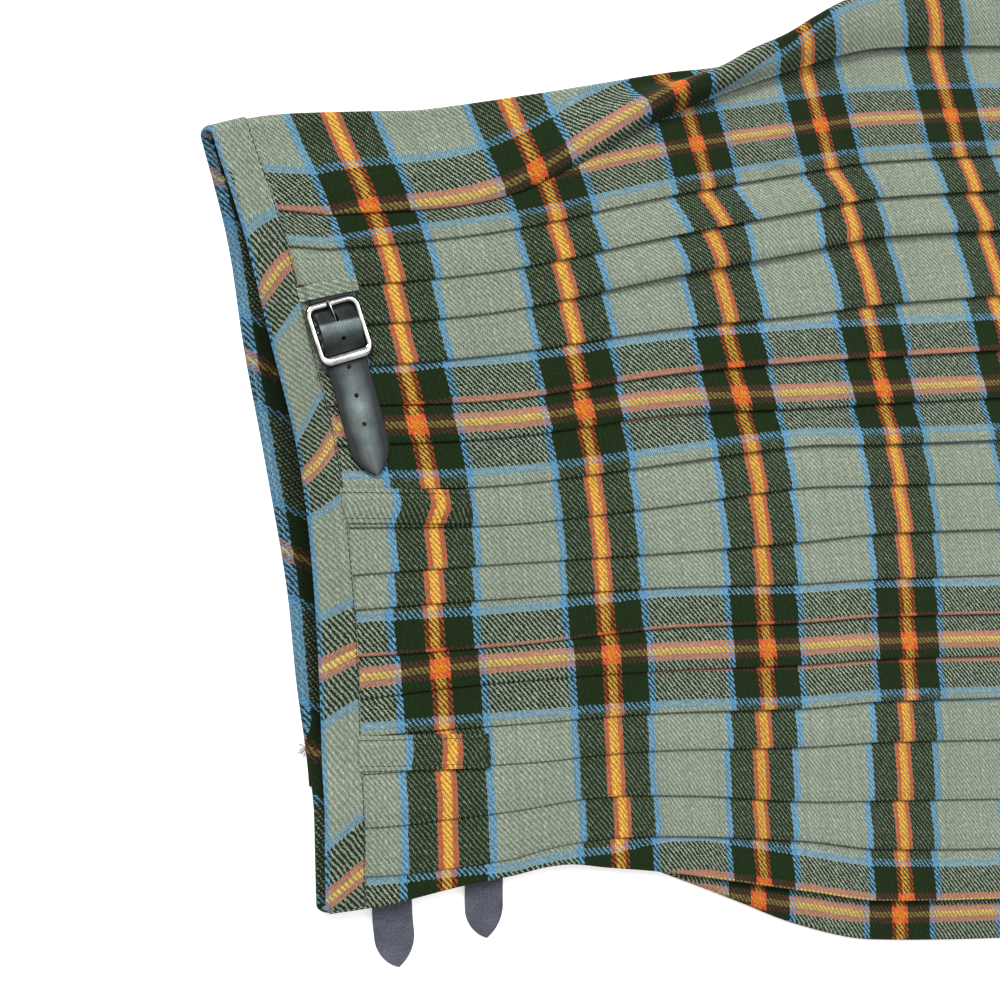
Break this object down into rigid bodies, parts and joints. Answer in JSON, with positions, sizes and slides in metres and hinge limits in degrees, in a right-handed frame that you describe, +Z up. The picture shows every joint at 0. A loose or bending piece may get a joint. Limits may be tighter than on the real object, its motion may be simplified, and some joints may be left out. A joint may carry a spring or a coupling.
{
  "type": "scottish kilt",
  "caption": "Pleated tartan kilt laid flat on its aprons, pleated back up, with waistband, belt loops and buckled leather hip straps.",
  "frame": {"origin": "middle of the box that the kilt fills, on the surface that it lies on", "axes": "+X from the waist to the hem, +Y across the kilt towards the hip with the single buckle, +Z up from the surface"},
  "size_m": [0.6784, 0.6967, 0.0248],
  "materials": {
    "tartan": "2/2 twill wool in a tartan of grey, dark green, light blue, brown-red and yellow",
    "chrome": "polished",
    "leather": "black smooth grain, blue-grey suede on the flesh side"
  },
  "bodies": {
    "root": {"over_apron": "tartan", "pleated_back": "tartan", "under_apron": "tartan", "waistband": "tartan", "belt_loop_1": "tartan", "belt_loop_2": "tartan", "strap_slit_edge": "tartan", "hip_buckle_chape": "tartan", "low_buckle_1_chape": "tartan", "low_buckle_2_chape": "tartan", "hip_buckle_frame": "chrome", "hip_buckle_tongue": "chrome", "low_buckle_1_frame": "chrome", "low_buckle_1_tongue": "chrome", "low_buckle_2_frame": "chrome", "low_buckle_2_tongue": "chrome", "hip_strap": "leather", "low_strap_1": "leather", "low_strap_2": "leather"}
  },
  "joints": []
}
